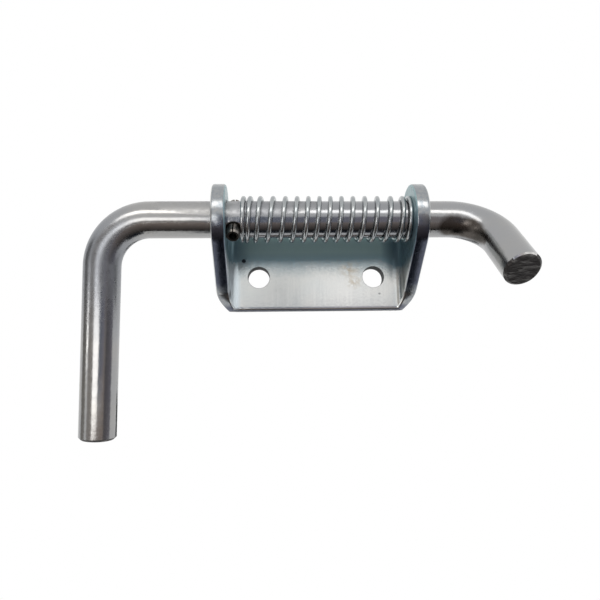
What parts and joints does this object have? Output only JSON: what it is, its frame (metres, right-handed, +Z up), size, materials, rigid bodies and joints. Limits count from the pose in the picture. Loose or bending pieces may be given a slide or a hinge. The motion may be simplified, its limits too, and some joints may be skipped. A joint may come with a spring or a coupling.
{
  "type": "spring loaded gate latch",
  "caption": "Sliding gate latch: a bent round bar with a hook and a handle runs in a folded bracket, and a coil spring against a cross pin pulls it home.",
  "frame": {"origin": "midway between the two screw holes, on the bracket's mounting face", "axes": "+X along the bolt towards the hook, +Y out of the mounting face into the post, +Z up"},
  "size_m": [0.1433, 0.043, 0.0821],
  "materials": {
    "bracket_zinc": "satin",
    "bar_zinc": "bright",
    "spring_wire": "bright",
    "pin_steel": "dark"
  },
  "bodies": {
    "bracket": {"bracket": "bracket_zinc"},
    "spring": {"compression_spring": "spring_wire"},
    "bolt": {"bolt_rod": "bar_zinc", "cross_pin": "pin_steel"}
  },
  "joints": [
    {"name": "bolt_slide", "type": "slide", "parent": "bracket", "child": "spring", "axis": [1, 0, 0], "range_m": [0, 0.02], "stiffness_N_per_m": 1800, "springref_m": -0.012, "deforming": ["compression_spring"]},
    {"name": "bolt_turn", "type": "hinge", "parent": "spring", "child": "bolt", "pos_m": [0, -0.02, 0.016], "axis": [1, 0, 0], "continuous": true}
  ]
}
